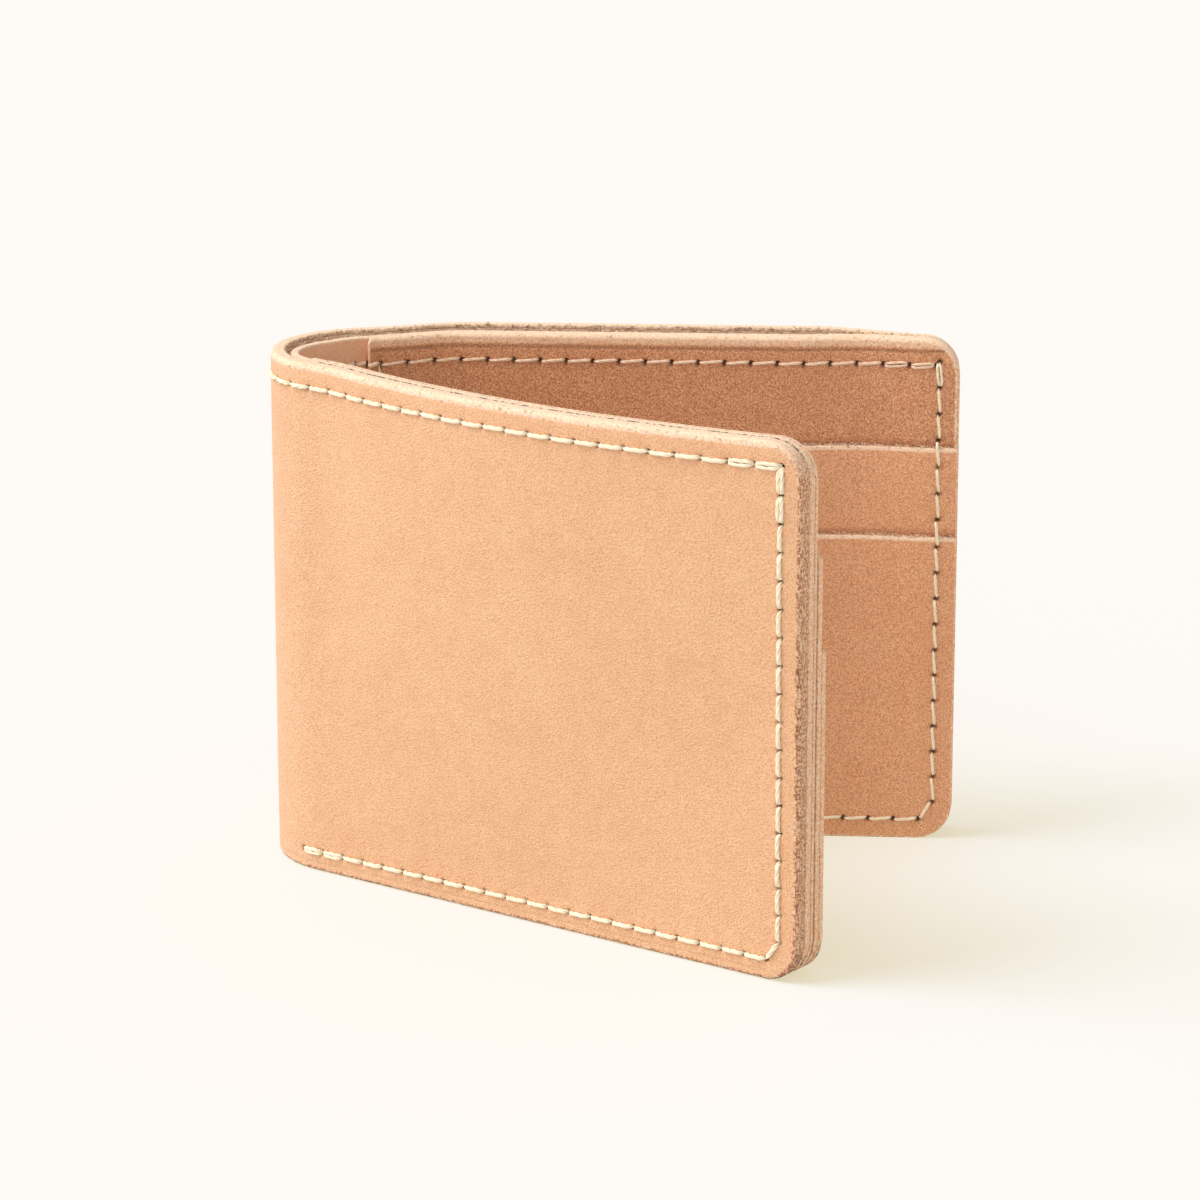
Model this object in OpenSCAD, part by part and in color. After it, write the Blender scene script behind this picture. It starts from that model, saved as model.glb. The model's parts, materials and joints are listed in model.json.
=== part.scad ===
// Bifold leather wallet, standing part-open on its bottom edge.
//
// Each layer of leather is a sheet laid out along one line, s, that starts at the spine end of a
// half (s = 0) and runs to its free edge (s = half_l). A negative s goes round the spine's curve.
// n is the distance out from the spine's centre line, and z is the height.
// The back half runs along +X with its outer face towards +Y. The front half is its mirror image,
// swung round the spine's centre line.

/* [Overall] */
// Height from the bottom edge to the top edge
wallet_h = 83.4; // [79:0.2:90]
// Length of each half, from the end of the spine's curve to the free edge
half_l = 93.5; // [91:0.5:98]
// Outer radius of the spine's curve
spine_r = 16.5; // [15.5:0.5:18]
// Angle between the halves as the wallet stands
fold_angle = 33; // [30:1:45]
// Radius of the free corners
corner_r = 6; // [4:0.5:8]

/* [Leather] */
// Thickness of the outer shell
shell_t = 2.4; // [2:0.1:2.6]
// Thickness of the liner behind the bill compartment
liner_t = 1.4; // [1:0.1:1.6]
// Thickness of the card panels and pockets
pocket_t = 1.1; // [0.8:0.1:1.2]
// Clearance between layers that lie on each other
layer_gap = 0.05; // [0.04:0.01:0.08]

/* [Pockets] */
// Drop from the top edge to the edge of the upper pocket
upper_drop = 17.8; // [16:0.1:20]
// Drop from the top edge to the edge of the lower pocket
lower_drop = 32.4; // [30:0.1:36]
// Height of the hidden seam that closes the upper pocket's foot
foot_seam_z = 17; // [14:1:22]

/* [Openness] */
// How far the bill compartment gapes at the top edge of the back half
bill_gap = 4.8; // [4.6:0.1:5.2]
// How far the back shell bows outwards at its top edge
back_bow = 5.2; // [4.8:0.1:5.6]
// How far the front half bows outwards at its top edge
front_bow = 5.5; // [2:0.5:6]

/* [Stitching] */
// Distance from the free edge to its row of stitches
seam_margin = 3.3; // [3:0.1:4]
// Distance from the shell's top edge to its row of stitches
top_margin = 3.7; // [3.4:0.1:4.2]
// Width of the thread
thread_w = 0.6; // [0.5:0.05:0.7]
// Number of stitches in a half's top row
top_stitches = 22; // [20:1:24]
// Number of stitches down the free edge
side_stitches = 17; // [15:1:18]
// Number of stitches along the bottom edge
bottom_stitches = 22; // [20:1:24]

/* [Hidden] */

shell_colour = "#e3b184";
inner_colour = "#cf966c";
thread_colour = "#f6ead2";

// The spine folds at five lines, so four strips of it lie between the halves, and half a strip's
// curve belongs to each half.
folds = 5;
bend = 180 - fold_angle;
strip_angle = bend / folds;
degree_length = spine_r * PI / 180;
strip_s = strip_angle * degree_length;
hinge_s = strip_s / 2;
// The leather bends about the middle of the shell.
fold_r = spine_r - shell_t / 2;
// Turn that each fold line has room for as the wallet closes from its standing pose
close_angle = 8.4;
strip_clearance = 0.05;

// Distance in from the outer face of the shell to the outer face of each layer
liner_depth = shell_t + layer_gap;
panel_depth = liner_depth + liner_t + layer_gap;
upper_depth = panel_depth + pocket_t + layer_gap;
lower_depth = upper_depth + pocket_t + layer_gap;
upper_top = wallet_h - upper_drop;
lower_top = wallet_h - lower_drop;
panel_s = -1.9;

// The bottom seam holds the layers together up to this height.
closed_z = 5;
// The compartment closes towards the free edge between these shares of the half's length.
gap_narrows = 0.72;
gap_shuts = 0.92;
// It closes round the spine between these distances from the back half.
spine_gap_narrows = 13;
spine_gap_shuts = 36;
// The bow starts over this length of each half, and the back half's fades out between these shares
// of its length.
bow_run = 18;
bow_fades = 0.75;
bow_ends = 0.95;

// Places of the seams
edge_s = half_l - seam_margin;
shell_row_z = wallet_h - top_margin;
row_step = 0.65;
liner_row_z = shell_row_z - row_step;
bottom_row_z = 3.3;
side_pitch = 4.32;
side_seam_end_z = shell_row_z - side_stitches * side_pitch;
corner_cut = 2.2;
bottom_row_start = -2.7;
panel_seam_s = 1.4;

// A stitch is a flat closed loop: a bar on each face and a leg through each hole.
hole_inset = 0.35;
leg_w = 0.3;
thread_raise = 0.25;
thread_sink = 0.25;
fold_inset_shell = 0.5;
fold_inset_liner = 1.35;

// Steps of the faceted sheets
column_step = 6.5;
corner_step = 18;
spine_end_columns = 3;
rows = 9;
shell_arc_steps = 8;
liner_arc_steps = 6;

function clamp(x) = min(max(x, 0), 1);
function smooth(x) = let(c = clamp(x)) c * c * (3 - 2 * c);

// Share of the top edge's opening that is left at height z
function rise(z) = sin(90 * clamp((z - closed_z) / (wallet_h - closed_z)));

// How far the top edge of a half bows outwards
function bow(half, s) =
    half == "back" ? back_bow * bow_start(s) * bow_left(s) :
    half == "front" ? front_bow * bow_start(s) * sin(180 * clamp(s / half_l)) : 0;

function bow_start(s) = smooth((s + hinge_s) / bow_run);
function bow_left(s) = 1 - smooth((s / half_l - bow_fades) / (bow_ends - bow_fades));

// How far the bill compartment gapes at the top edge
function gape(half, s) =
    half == "front" ? 0 :
    s > 0 ? bill_gap * (1 - smooth((s / half_l - gap_narrows) / (gap_shuts - gap_narrows))) :
    bill_gap * (1 - smooth((-s - spine_gap_narrows) / (spine_gap_shuts - spine_gap_narrows)));

// Distance out of the face that lies depth below the shell's outer face. Everything below the
// shell moves in with the gape of the bill compartment.
function face_n(half, depth, s, z) =
    spine_r - depth + rise(z) * (bow(half, s) - (depth > shell_t ? gape(half, s) : 0));

// Position of a point of the back half or of the spine
function at(s, n, z) = s >= 0 ? [s, n, z] :
    let(a = -s / degree_length) [-n * sin(a), n * cos(a), z];

// Half of the gap that a fold line needs at radius r, as a length along s
function fold_inset(r) = let(turn = r > fold_r ? strip_angle / 2 : close_angle / 2)
    (abs(fold_r - r) * tan(turn) + strip_clearance) * spine_r / r;

// Height lost to the rounded free corner at s
function corner_rise(s) =
    let(x = clamp((s - half_l + corner_r) / corner_r)) corner_r * (1 - sqrt(1 - x * x));

function spread(a, b, count) = [for (i = [0:count]) a + (b - a) * i / count];

// Columns of a half's sheet: fine round the spine's curve and the free corner
function half_columns(start) =
    let(
        corner_start = half_l - corner_r,
        steps = ceil(corner_start / column_step)
    )
    concat(
        start < 0 ? [for (i = [0:spine_end_columns - 1]) start * (1 - i / spine_end_columns)] : [],
        [for (i = [0:steps - 1]) corner_start * i / steps],
        [for (a = [0:corner_step:90]) corner_start + corner_r * sin(a)]
    );

// A closed sheet of leather. outer and inner are the columns of its two faces.
module sheet(half, outer, inner, depth, thickness, top, rounded_top) {
    columns = len(outer);
    faces_s = [outer, inner];
    depths = [depth, depth + thickness];
    points = [
        for (f = [0:1]) for (i = [0:columns - 1]) for (j = [0:rows])
            let(
                s = faces_s[f][i],
                lift = half == "spine" ? 0 : corner_rise(s),
                high = top - (rounded_top ? lift : 0),
                z = lift + (high - lift) * j / rows
            )
            at(s, face_n(half, depths[f], s, z), z)
    ];
    function id(f, i, j) = (f * columns + i) * (rows + 1) + j;
    skin = [
        for (i = [0:columns - 2]) for (j = [0:rows - 1]) for (f = [0:1])
            let(a = id(f, i, j), b = id(f, i + 1, j), c = id(f, i + 1, j + 1), d = id(f, i, j + 1))
            each f == 0 ? [[a, b, c], [a, c, d]] : [[a, c, b], [a, d, c]]
    ];
    ends = [
        for (j = [0:rows - 1]) for (i = [0, columns - 1])
            let(a = id(0, i, j), b = id(0, i, j + 1), c = id(1, i, j + 1), d = id(1, i, j))
            each i == 0 ? [[a, b, c], [a, c, d]] : [[a, c, b], [a, d, c]]
    ];
    rims = [
        for (i = [0:columns - 2]) for (j = [0, rows])
            let(a = id(0, i, j), b = id(0, i + 1, j), c = id(1, i + 1, j), d = id(1, i, j))
            each j == 0 ? [[a, c, b], [a, d, c]] : [[a, b, c], [a, c, d]]
    ];
    polyhedron(points, concat(skin, ends, rims));
}

module half_sheet(half, start_outer, start_inner, depth, thickness, top, rounded_top) {
    sheet(half, half_columns(start_outer), half_columns(start_inner), depth, thickness, top, rounded_top);
}

// A stitch's closed loop of thread, laid flat, between the places a and b along it.
// point(t, depth, offset) gives the place that lies offset out of the face at that depth.
module stitch_loop(point, a, b, depth_out, depth_in) {
    ring = [
        point(a, depth_out, thread_raise), point(b, depth_out, thread_raise),
        point(b, depth_in, -thread_raise), point(a, depth_in, -thread_raise)
    ];
    hole = [
        point(a + leg_w, depth_out, -thread_sink), point(b - leg_w, depth_out, -thread_sink),
        point(b - leg_w, depth_in, thread_sink), point(a + leg_w, depth_in, thread_sink)
    ];
    translate([0, 0, -thread_w / 2])
        linear_extrude(thread_w)
            polygon(concat(ring, hole), [[0, 1, 2, 3], [4, 5, 6, 7]]);
}

// A stitch of a level row, between the holes at s0 and s1
module row_stitch(half, s0, s1, z, depth_out, depth_in, inset0 = hole_inset, inset1 = hole_inset) {
    point = function(s, depth, offset)
        let(p = at(s, face_n(half, depth, s, z) + offset, z)) [p.x, p.y];
    translate([0, 0, z])
        stitch_loop(point, s0 + inset0, s1 - inset1, depth_out, depth_in);
}

// A stitch that runs up or across a flat half, between the holes at (s0, z0) and (s1, z1)
module slanted_stitch(half, s0, z0, s1, z1, depth_out, depth_in) {
    run = norm([s1 - s0, z1 - z0]);
    point = function(t, depth, offset)
        let(k = t / run)
        [t, face_n(half, depth, s0 + (s1 - s0) * k, z0 + (z1 - z0) * k) + offset];
    translate([s0, 0, z0])
        rotate([0, -atan2(z1 - z0, s1 - s0), 0])
            stitch_loop(point, hole_inset, run - hole_inset, depth_out, depth_in);
}

// Depth of the innermost face at a place on a half
function inner_depth(s, z) =
    s < panel_s ? liner_depth + liner_t :
    z > upper_top ? panel_depth + pocket_t :
    z > lower_top ? upper_depth + pocket_t : lower_depth + pocket_t;

module half_place(half) {
    if (half == "back") children();
    else rotate([0, 0, -fold_angle]) mirror([0, 1, 0]) children();
}

// Sheets of a half

module half_shell(half) color(shell_colour)
    half_place(half)
        half_sheet(half, -hinge_s + fold_inset(spine_r), -hinge_s + fold_inset(spine_r - shell_t),
            0, shell_t, wallet_h, true);

module half_liner(half) color(inner_colour)
    half_place(half)
        half_sheet(half, -hinge_s + liner_fold_inset(0), -hinge_s + liner_fold_inset(liner_t),
            liner_depth, liner_t, wallet_h, true);

module half_card_panel(half) color(inner_colour)
    half_place(half)
        half_sheet(half, panel_s, panel_s, panel_depth, pocket_t, wallet_h, true);

module half_upper_pocket(half) color(inner_colour)
    half_place(half)
        half_sheet(half, panel_s, panel_s, upper_depth, pocket_t, upper_top, false);

module half_lower_pocket(half) color(inner_colour)
    half_place(half)
        half_sheet(half, panel_s, panel_s, lower_depth, pocket_t, lower_top, false);

// Seams of a half

// The edge seam runs down the free edge, cuts the bottom corner with one stitch and goes back
// along the bottom, through every layer.
module half_edge_seam(half) color(thread_colour)
    half_place(half) {
        for (k = [0:side_stitches - 1]) {
            z_top = shell_row_z - k * side_pitch;
            z_low = z_top - side_pitch;
            slanted_stitch(half, edge_s, z_low, edge_s, z_top, 0, inner_depth(edge_s, z_low));
        }
        corner_s = edge_s - corner_cut;
        slanted_stitch(half, corner_s, bottom_row_z, edge_s, side_seam_end_z, 0, inner_depth(edge_s, 0));
        pitch = (corner_s - bottom_row_start) / bottom_stitches;
        for (k = [0:bottom_stitches - 1]) {
            s = bottom_row_start + k * pitch;
            row_stitch(half, s, s + pitch, bottom_row_z, 0, inner_depth(s, bottom_row_z));
        }
    }

// The two top rows leave the bill compartment open: one is in the shell, and one holds the card
// panel to the liner.
module half_top_row(half, end_s, z, first_inset, panel_row) {
    pitch = (end_s + hinge_s) / top_stitches;
    for (k = [0:top_stitches - 1]) {
        s = -hinge_s + k * pitch;
        depth_out = panel_row ? liner_depth : 0;
        depth_in = panel_row ? (s < panel_s ? liner_depth + liner_t : panel_depth + pocket_t) : shell_t;
        row_stitch(half, s, s + pitch, z, depth_out, depth_in, k == 0 ? first_inset : hole_inset);
    }
}

module half_shell_top_stitching(half) color(thread_colour)
    half_place(half)
        half_top_row(half, edge_s, shell_row_z, fold_inset_shell, false);

module half_liner_top_stitching(half) color(thread_colour)
    half_place(half)
        half_top_row(half, edge_s - thread_w, liner_row_z, fold_inset_liner, true);

// The panel's spine-side edge is held to the liner.
module half_panel_side_seam(half) color(thread_colour)
    half_place(half)
        for (k = [1:side_stitches]) {
            z = liner_row_z - k * side_pitch;
            slanted_stitch(half, panel_seam_s, z, panel_seam_s, z + side_pitch,
                liner_depth, inner_depth(panel_seam_s, z));
        }

// The hidden foot seam stops cards sinking to the bottom of the upper pocket.
module half_pocket_foot_seam(half) color(thread_colour)
    half_place(half) {
        for (k = [1:top_stitches - 3]) {
            s = panel_seam_s + k * side_pitch;
            row_stitch(half, s, s + side_pitch, foot_seam_z, panel_depth, upper_depth + pocket_t);
        }
    }

// The spine, strip by strip, counted from the back half

function strip_start(i) = -hinge_s - i * strip_s;

// The liner's fold lines clear the liner where the compartment gapes the most.
function liner_fold_inset(below) = fold_inset(spine_r - liner_depth - below - bill_gap);

module spine_shell(i) color(shell_colour) {
    out = fold_inset(spine_r);
    in = fold_inset(spine_r - shell_t);
    outer_s = spread(strip_start(i) + out, strip_start(i - 1) - out, shell_arc_steps);
    inner_s = spread(strip_start(i - 1) - in, strip_start(i) + in, shell_arc_steps);
    outer = [for (s = outer_s) at(s, spine_r, 0)];
    inner = [for (s = inner_s) at(s, spine_r - shell_t, 0)];
    linear_extrude(wallet_h)
        polygon([for (p = concat(outer, inner)) [p.x, p.y]]);
}

module spine_liner(i) color(inner_colour) {
    out = liner_fold_inset(0);
    in = liner_fold_inset(liner_t);
    outer = spread(strip_start(i) + out, strip_start(i - 1) - out, liner_arc_steps);
    inner = spread(strip_start(i) + in, strip_start(i - 1) - in, liner_arc_steps);
    sheet("spine", outer, inner, liner_depth, liner_t, wallet_h, false);
}

// Two stitches in the shell and two in the liner cross each strip.
module spine_stitching(i) color(thread_colour) {
    low = strip_start(i);
    middle = low + hinge_s;
    high = strip_start(i - 1);
    row_stitch("spine", low, middle, shell_row_z, 0, shell_t, fold_inset_shell, hole_inset);
    row_stitch("spine", middle, high, shell_row_z, 0, shell_t, hole_inset, fold_inset_shell);
    liner_in = liner_depth + liner_t;
    row_stitch("spine", low, middle, liner_row_z, liner_depth, liner_in, fold_inset_liner, hole_inset);
    row_stitch("spine", middle, high, liner_row_z, liner_depth, liner_in, hole_inset, fold_inset_liner);
}

// The origin is under the middle of the standing wallet. These are its extents from the spine's
// centre line.
x_low = -spine_r - thread_raise;
x_high = half_l;
y_high = spine_r + back_bow + thread_raise * rise(shell_row_z);
y_low = -spine_r * cos(fold_angle) - half_l * sin(fold_angle);

module place() translate([-(x_low + x_high) / 2, -(y_low + y_high) / 2, 0]) children();

place() half_shell("back");  // back_shell
place() half_liner("back");  // back_liner
place() half_card_panel("back");  // back_card_panel
place() half_upper_pocket("back");  // back_upper_pocket
place() half_lower_pocket("back");  // back_lower_pocket
place() half_edge_seam("back");  // back_edge_seam
place() half_shell_top_stitching("back");  // back_shell_top_stitching
place() half_liner_top_stitching("back");  // back_liner_top_stitching
place() half_panel_side_seam("back");  // back_panel_side_seam
place() half_pocket_foot_seam("back");  // back_pocket_foot_seam
place() half_shell("front");  // front_shell
place() half_liner("front");  // front_liner
place() half_card_panel("front");  // front_card_panel
place() half_upper_pocket("front");  // front_upper_pocket
place() half_lower_pocket("front");  // front_lower_pocket
place() half_edge_seam("front");  // front_edge_seam
place() half_shell_top_stitching("front");  // front_shell_top_stitching
place() half_liner_top_stitching("front");  // front_liner_top_stitching
place() half_panel_side_seam("front");  // front_panel_side_seam
place() half_pocket_foot_seam("front");  // front_pocket_foot_seam
place() spine_shell(1);  // spine_shell_1
place() spine_shell(2);  // spine_shell_2
place() spine_shell(3);  // spine_shell_3
place() spine_shell(4);  // spine_shell_4
place() spine_liner(1);  // spine_liner_1
place() spine_liner(2);  // spine_liner_2
place() spine_liner(3);  // spine_liner_3
place() spine_liner(4);  // spine_liner_4
place() spine_stitching(1);  // spine_stitching_1
place() spine_stitching(2);  // spine_stitching_2
place() spine_stitching(3);  // spine_stitching_3
place() spine_stitching(4);  // spine_stitching_4
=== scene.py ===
"""A bifold leather wallet, standing part-open: leather, thread and raw edges round the CAD frame.

Lengths are in millimetres until a mesh is made. Each layer of leather is a sheet laid out by s, the
distance along it, and z, the height. s is 0 at the spine end of a half, grows to the free edge, and
is negative round the spine. n is the distance out from the spine's axis.
"""

import json
import math

import bpy
import numpy as np
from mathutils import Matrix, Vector


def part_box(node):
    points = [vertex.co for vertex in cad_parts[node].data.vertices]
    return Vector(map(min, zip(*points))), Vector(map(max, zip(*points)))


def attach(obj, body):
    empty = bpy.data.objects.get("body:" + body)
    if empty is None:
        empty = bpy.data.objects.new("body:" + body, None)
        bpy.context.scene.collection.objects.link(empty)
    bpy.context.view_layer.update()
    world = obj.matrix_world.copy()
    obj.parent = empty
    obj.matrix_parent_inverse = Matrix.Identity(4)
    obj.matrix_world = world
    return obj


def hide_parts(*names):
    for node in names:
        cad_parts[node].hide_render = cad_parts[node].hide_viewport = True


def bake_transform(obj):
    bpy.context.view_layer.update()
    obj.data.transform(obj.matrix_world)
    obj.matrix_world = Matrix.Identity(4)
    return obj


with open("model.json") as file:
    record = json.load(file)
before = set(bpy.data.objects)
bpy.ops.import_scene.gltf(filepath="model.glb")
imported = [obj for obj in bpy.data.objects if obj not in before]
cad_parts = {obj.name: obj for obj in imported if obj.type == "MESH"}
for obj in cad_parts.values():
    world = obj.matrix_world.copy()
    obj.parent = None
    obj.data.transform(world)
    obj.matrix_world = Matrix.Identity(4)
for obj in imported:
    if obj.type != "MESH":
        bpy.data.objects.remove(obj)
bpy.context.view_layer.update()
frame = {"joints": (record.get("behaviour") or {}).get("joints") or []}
rng = np.random.default_rng(7)

MM = 0.001

# ---------------------------------------------------------------- the wallet's layout, from the frame


def axis_of_folds():
    """The spine's axis, as the centre of the circle through three of its fold lines."""
    points = [np.array(j["pos_m"][:2]) / MM for j in frame["joints"]]
    a, b, c = points[0], points[2], points[4]
    system = 2 * np.array([b - a, c - a])
    return np.linalg.solve(system, [b @ b - a @ a, c @ c - a @ a]), points


AXIS, FOLD_POINTS = axis_of_folds()
FOLDS = len(FOLD_POINTS)
SHELL_T, LINER_T, POCKET_T, LAYER_GAP = 2.4, 1.4, 1.1, 0.05
SPINE_R = float(np.linalg.norm(FOLD_POINTS[0] - AXIS)) + SHELL_T / 2
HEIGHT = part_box("back_shell")[1].z / MM
HALF_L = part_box("back_shell")[1].x / MM - AXIS[0]
STRIP_ANGLE = 2 * math.asin(
    np.linalg.norm(FOLD_POINTS[1] - FOLD_POINTS[0]) / 2 / (SPINE_R - SHELL_T / 2)
)
FOLD_ANGLE = math.pi - FOLDS * STRIP_ANGLE
STRIP_S = STRIP_ANGLE * SPINE_R
HINGE_S = STRIP_S / 2
BEND_S = FOLDS * STRIP_S
UPPER_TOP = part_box("back_upper_pocket")[1].z / MM
LOWER_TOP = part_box("back_lower_pocket")[1].z / MM

LINER_DEPTH = SHELL_T + LAYER_GAP
PANEL_DEPTH = LINER_DEPTH + LINER_T + LAYER_GAP
UPPER_DEPTH = PANEL_DEPTH + POCKET_T + LAYER_GAP
LOWER_DEPTH = UPPER_DEPTH + POCKET_T + LAYER_GAP
PANEL_S = -4.0
CORNER_R = 6.0
BILL_GAP, BACK_BOW, FRONT_BOW, BOW_RUN = 4.8, 5.2, 5.5, 18.0
CLOSED_Z = 5.0  # below this height the bill compartment is shut

# Seams
EDGE_S = HALF_L - 3.3
SHELL_ROW_Z = HEIGHT - 3.7
LINER_ROW_Z = SHELL_ROW_Z - 0.65
BOTTOM_ROW_Z = 3.3
SIDE_PITCH = 4.32
SIDE_STITCHES = 17
ROW_STITCHES = 22
PANEL_SEAM_S = 0.0
CORNER_HOLE_S = EDGE_S - 2.2
BOTTOM_START_S = -2.7
SIDE_HOLES_Z = [SHELL_ROW_Z - k * SIDE_PITCH for k in range(SIDE_STITCHES, -1, -1)]
PANEL_HOLES_Z = [z - (SHELL_ROW_Z - LINER_ROW_Z) for z in SIDE_HOLES_Z]
FOOT_Z = (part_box("back_pocket_foot_seam")[0].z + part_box("back_pocket_foot_seam")[1].z) / 2 / MM


def row_holes(end):
    """Places along s of the holes of a half's top row, which ends at end."""
    return [-HINGE_S + (end + HINGE_S) * k / ROW_STITCHES for k in range(ROW_STITCHES + 1)]


SHELL_HOLES_S = row_holes(EDGE_S)
LINER_HOLES_S = row_holes(EDGE_S - 0.6)
BOTTOM_HOLES_S = [
    BOTTOM_START_S + (CORNER_HOLE_S - BOTTOM_START_S) * k / ROW_STITCHES
    for k in range(ROW_STITCHES + 1)
]


def smooth(x):
    c = np.clip(x, 0, 1)
    return c * c * (3 - 2 * c)


def rise(z):
    """Share of the top edge's opening that is left at height z."""
    return np.sin(math.pi / 2 * np.clip((z - CLOSED_Z) / (HEIGHT - CLOSED_Z), 0, 1))


def bow(half, s):
    """How far the top edge bows outwards."""
    start = smooth((s + HINGE_S) / BOW_RUN)
    if half == "back":
        return BACK_BOW * start * (1 - smooth((s / HALF_L - 0.75) / 0.2))
    return FRONT_BOW * start * np.sin(math.pi * np.clip(s / HALF_L, 0, 1))


def gape(half, s):
    """How far the bill compartment gapes at the top edge."""
    if half == "front":
        return np.zeros_like(s)
    flat = BILL_GAP * (1 - smooth((s / HALF_L - 0.72) / 0.2))
    curve = BILL_GAP * (1 - smooth((-s - 13) / 23))
    return np.where(s > 0, flat, curve)


def face_n(half, depth, s, z):
    """Distance out from the axis of the face that lies depth below the shell's outer face."""
    inner = np.asarray(depth) > SHELL_T
    return SPINE_R - depth + rise(z) * (bow(half, s) - np.where(inner, gape(half, s), 0))


def place(half, s, n, z):
    """Points of the row frame, in millimetres, for places in a half's layout."""
    a = np.where(s < 0, -s / SPINE_R, 0)
    x = np.where(s < 0, -n * np.sin(a), s)
    y = np.where(s < 0, n * np.cos(a), n)
    if half == "front":
        c, k = math.cos(FOLD_ANGLE), math.sin(FOLD_ANGLE)
        x, y = x * c - y * k, -x * k - y * c
    return np.stack([x + AXIS[0], y + AXIS[1], z], -1)


def along(half, s):
    """Distance along the whole strip of leather, from the back half round to the front half."""
    return s if half == "back" else -BEND_S - s


# ---------------------------------------------------------------- meshes of leather

# Lines of the fine grid within one pitch, close together at the holes
CELL = (0, 0.035, 0.075, 0.125, 0.2, 0.35, 0.5, 0.65, 0.8, 0.875, 0.925, 0.965)
STRIDE = 6
BAND = 6.0  # width of the fine border of a face
# Lines pressed along an edge: which edge, distance in, width, depth, darkness
CREASES = {"shell": ("low", 1.5, 0.16, 0.07, 0.14), "card_panel": ("high", 2.05, 0.17, 0.12, 0.6)}
HOLE_WIDTH, HOLE_DEPTH = 0.24, 0.8
# How dark the painted shade is in the gap between shell and liner at the top, for each half and the folds
GAP_SHADE = {"back": 0.45, "front": 1.2, "fold": 0.35}
# Roundings of the cut edges: at the fine face, and at the other face
SHELL_ROUND, LINER_ROUND, PANEL_ROUND, POCKET_ROUND = (0.7, 0.35), (0.3, 0.25), (0.75, 0.2), (0.3, 0.2)
# How far the raw look of a top edge reaches down its face, and the pale band under the panel's
SHELL_RAW, PANEL_RAW, POCKET_RAW, PANEL_PALE = 1.15, 0.7, 0.66, 1.9
BACK_LAP = 0.3  # how far the last ring of an edge lies in along the other face
COARSE_ROWS, COARSE_STEP = 30, 0.9
HAIR_R, HAIRS_PER_MM = 0.105, 5.0
HAIRY_FOLDS = 3  # the first folds, whose flesh side shows from the front, have fibres


def pitched(holes):
    """Grid lines over a row of holes."""
    lines = [a + (b - a) * f for a, b in zip(holes[:-1], holes[1:]) for f in CELL]
    return lines + [holes[-1]]


def ramp(a, b, shares):
    return [a + (b - a) * f for f in shares]


LEAD_SHARES = (0, 0.08, 0.2, 0.36, 0.52, 0.66, 0.78, 0.86, 0.92, 0.96)
END_SHARES = (0.05, 0.11, 0.19, 0.3, 0.42, 0.54, 0.63, 0.71, 0.78, 0.85, 0.92, 1.0)


def border_distance(s, z, outline):
    """Distance in from the outline: (s_low or None, s_high or None, z_high, top corner rounded)."""
    s_low, s_high, z_high, rounded = outline
    d = np.minimum(z, z_high - z)
    if s_high is not None:
        d = np.minimum(d, s_high - s)
        qs = s - (s_high - CORNER_R)
        for qz, on in ((CORNER_R - z, True), (z - (z_high - CORNER_R), rounded)):
            corner = (qs > 0) & (qz > 0) & on
            d = np.where(corner, CORNER_R - np.hypot(qs, qz), d)
    if s_low is not None:
        d = np.minimum(d, s - s_low)
    return d


def undulation(length, z):
    """Slight unevenness of a sheet of leather, in millimetres."""
    w = 0.020 * np.sin(length * 0.31 + 1.3 * np.sin(z * 0.11)) * np.sin(z * 0.23 + 0.7)
    return w + 0.014 * np.sin(length * 0.77 + z * 0.52) * np.sin(z * 0.61 - length * 0.19)


def relief(half, s, z, outline, holes, crease):
    """Height of a face's surface and how dark it is: holes, the pull of the thread, and the crease. The
    darkness in and round the holes is painted shade.
    """
    d = border_distance(s, z, outline)
    high = undulation(along(half, s), z)
    dark = np.zeros_like(s)
    if crease:
        side, inward, width, depth, darkness = crease
        distance = z if side == "low" else outline[2] - z
        line = np.exp(-(((distance - inward) / width) ** 2))
        high -= depth * line
        dark += darkness * line
    # The face rounds down a little towards its cut edges.
    high -= 0.07 * smooth(1 - d / 2.2)
    for hole_s, hole_z in holes:
        r2 = (s - hole_s) ** 2 + (z - hole_z) ** 2
        near = r2 < 9
        r2 = r2[near]
        high[near] -= HOLE_DEPTH * np.exp(-r2 / (2 * HOLE_WIDTH**2)) + 0.05 * np.exp(-r2 / 1.1)
        # Painted shade in each hole, with a faint ring of it round the dimple.
        dark[near] += 1.2 * np.exp(-((r2 / 0.42**2) ** 2)) + 0.08 * np.exp(-r2 / 0.8)
    return high, np.clip(dark, 0, 1)


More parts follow.
